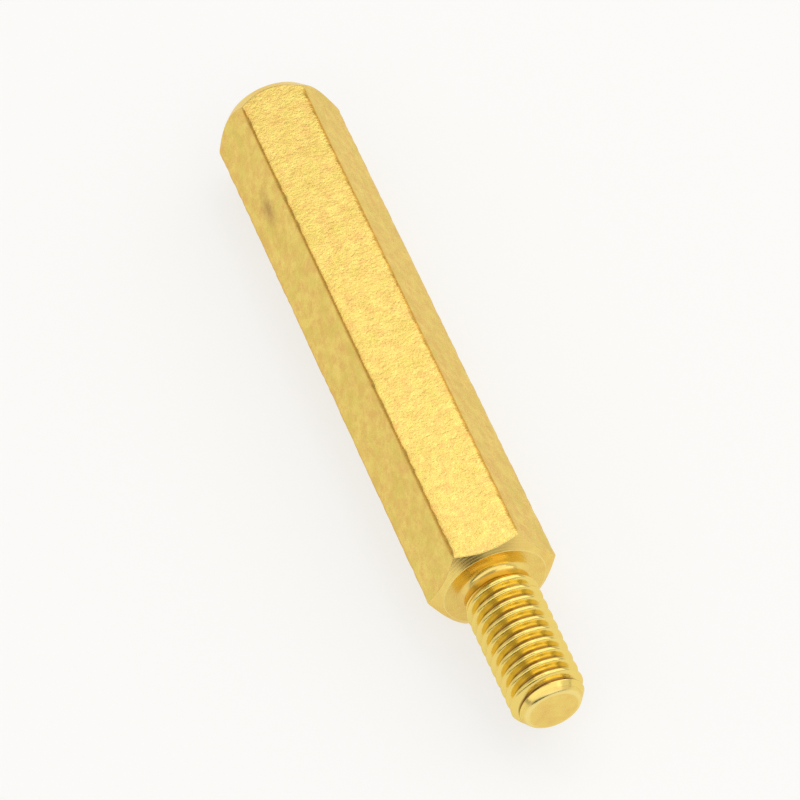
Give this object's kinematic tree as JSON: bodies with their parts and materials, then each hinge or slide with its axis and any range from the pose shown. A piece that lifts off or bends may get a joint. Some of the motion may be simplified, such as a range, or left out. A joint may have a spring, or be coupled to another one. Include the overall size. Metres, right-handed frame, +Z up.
{
  "type": "hex standoff",
  "caption": "Male-female hex standoff turned from brass hexagon bar, with a threaded stud on one end and a threaded blind hole in the other, to space a board from what carries it.",
  "frame": {"origin": "middle of the overall length, on the flat that the standoff lies on", "axes": "+X along the standoff from the hole's end to the stud's tip, +Z up from the flat it lies on"},
  "size_m": [0.031, 0.0052, 0.0045],
  "materials": {
    "brass": "drawn satin flats, turned ends, bright thread"
  },
  "bodies": {
    "root": {"standoff": "brass"}
  },
  "joints": []
}
